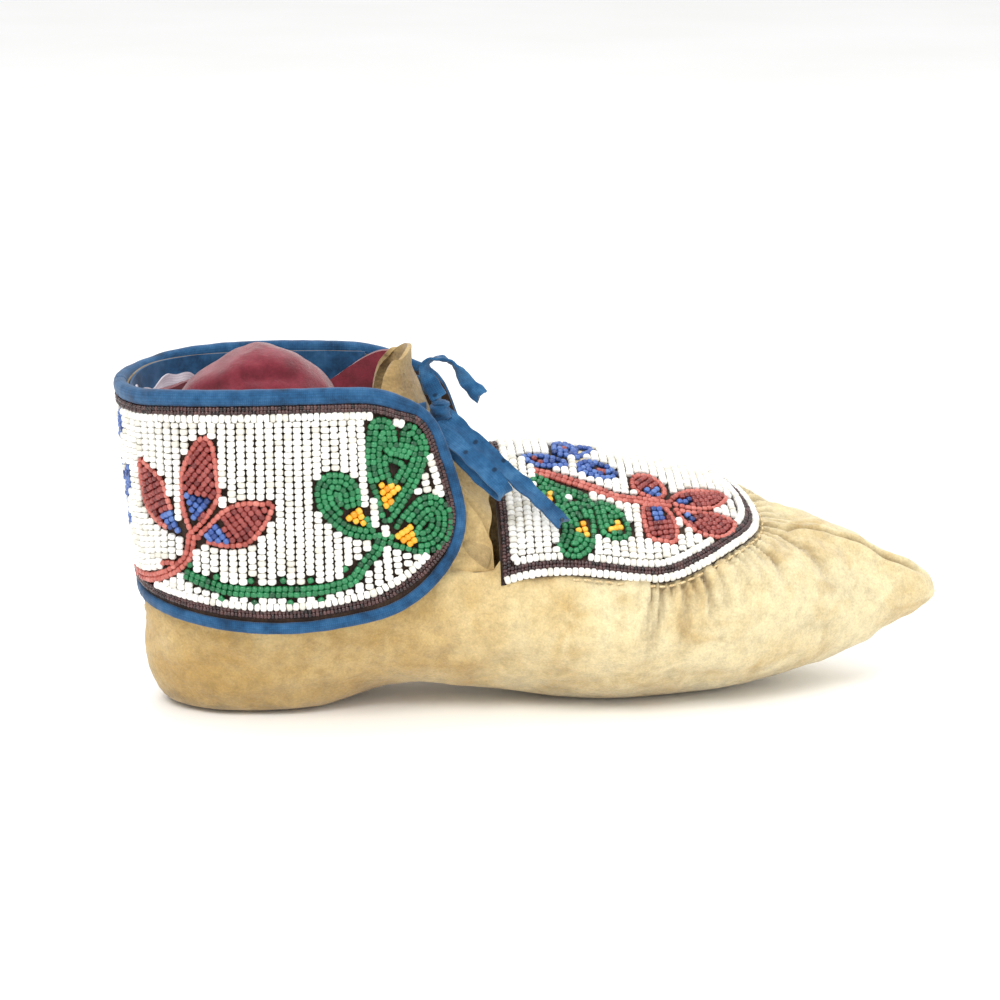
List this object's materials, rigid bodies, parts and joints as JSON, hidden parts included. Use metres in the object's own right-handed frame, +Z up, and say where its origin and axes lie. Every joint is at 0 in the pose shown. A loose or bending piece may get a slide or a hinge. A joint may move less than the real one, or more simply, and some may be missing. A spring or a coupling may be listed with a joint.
{
  "type": "moccasin",
  "caption": "Soft-soled hide moccasin with a bead-worked vamp, a fold-down bead-worked ankle cuff with two flaps, a tongue and a ribbon lace.",
  "frame": {"origin": "on the ground, under the middle of the outline seen from above", "axes": "+X towards the toe, -Y the lateral side, +Y the medial side, +Z up"},
  "size_m": [0.2688, 0.085, 0.1174],
  "materials": {
    "smoked_hide": "brain-tanned suede",
    "tongue_suede": "suede",
    "white_beads": "opaque gloss",
    "dark_beads": "iridescent gloss",
    "blue_beads": "opaque gloss",
    "red_beads": "opaque gloss",
    "coral_beads": "opaque gloss",
    "green_beads": "opaque gloss",
    "orange_beads": "opaque gloss",
    "blue_cotton": "plain woven cotton",
    "cuff_lining_cotton": "plain woven cotton",
    "red_wool": "felted wool",
    "muslin": "fine plain weave",
    "sinew_thread": "waxed sinew"
  },
  "bodies": {
    "moccasin": {"ankle_collar": "tongue_suede", "heel_cuff_binding": "blue_cotton", "heel_cuff_blue_flower": "blue_beads", "heel_cuff_blue_petal_bases": "blue_beads", "heel_cuff_border_beads": "dark_beads", "heel_cuff_cloth": "cuff_lining_cotton", "heel_cuff_coral_stems": "coral_beads", "heel_cuff_green_vines": "green_beads", "heel_cuff_red_flowers": "red_beads", "heel_cuff_white_beads": "white_beads", "heel_seam": "sinew_thread", "hide_body": "smoked_hide", "lace_knot": "blue_cotton", "lace_lateral_band": "blue_cotton", "lace_lower_loop": "blue_cotton", "lace_lower_tail": "blue_cotton", "lace_medial_band": "blue_cotton", "lace_upper_tail": "blue_cotton", "muslin_lining": "muslin", "quarter_seam_stitches": "sinew_thread", "red_wool_lining": "red_wool", "rim_binding": "blue_cotton", "toe_seam": "sinew_thread", "vamp_backing": "smoked_hide", "vamp_blue_flower": "blue_beads", "vamp_border_beads": "dark_beads", "vamp_coral_stem": "coral_beads", "vamp_edge_beads": "white_beads", "vamp_gathering_thread": "sinew_thread", "vamp_green_leaves": "green_beads", "vamp_orange_hearts": "orange_beads", "vamp_red_flower": "red_beads", "vamp_white_beads": "white_beads"},
    "lateral_flap": {"lateral_flap_binding": "blue_cotton", "lateral_flap_border_beads": "dark_beads", "lateral_flap_cloth": "cuff_lining_cotton", "lateral_flap_green_leaf": "green_beads", "lateral_flap_green_vine": "green_beads", "lateral_flap_orange_hearts": "orange_beads", "lateral_flap_white_beads": "white_beads"},
    "medial_flap": {"medial_flap_binding": "blue_cotton", "medial_flap_border_beads": "dark_beads", "medial_flap_cloth": "cuff_lining_cotton", "medial_flap_green_leaf": "green_beads", "medial_flap_green_vine": "green_beads", "medial_flap_orange_hearts": "orange_beads", "medial_flap_white_beads": "white_beads"},
    "tongue_body": {"tongue": "tongue_suede"}
  },
  "joints": [
    {"name": "lateral_flap_lift", "type": "hinge", "parent": "moccasin", "child": "lateral_flap", "pos_m": [-0.05756, -0.0368, 0.1084], "axis": [-0.9902, -0.1399, 0], "range_deg": [0, 35]},
    {"name": "medial_flap_lift", "type": "hinge", "parent": "moccasin", "child": "medial_flap", "pos_m": [-0.05756, 0.0368, 0.1084], "axis": [0.9902, -0.1399, 0], "range_deg": [0, 35]},
    {"name": "tongue_tilt", "type": "hinge", "parent": "moccasin", "child": "tongue_body", "pos_m": [-0.01636, 0, 0.0515], "axis": [0, -1, 0], "range_deg": [0, 12]}
  ]
}
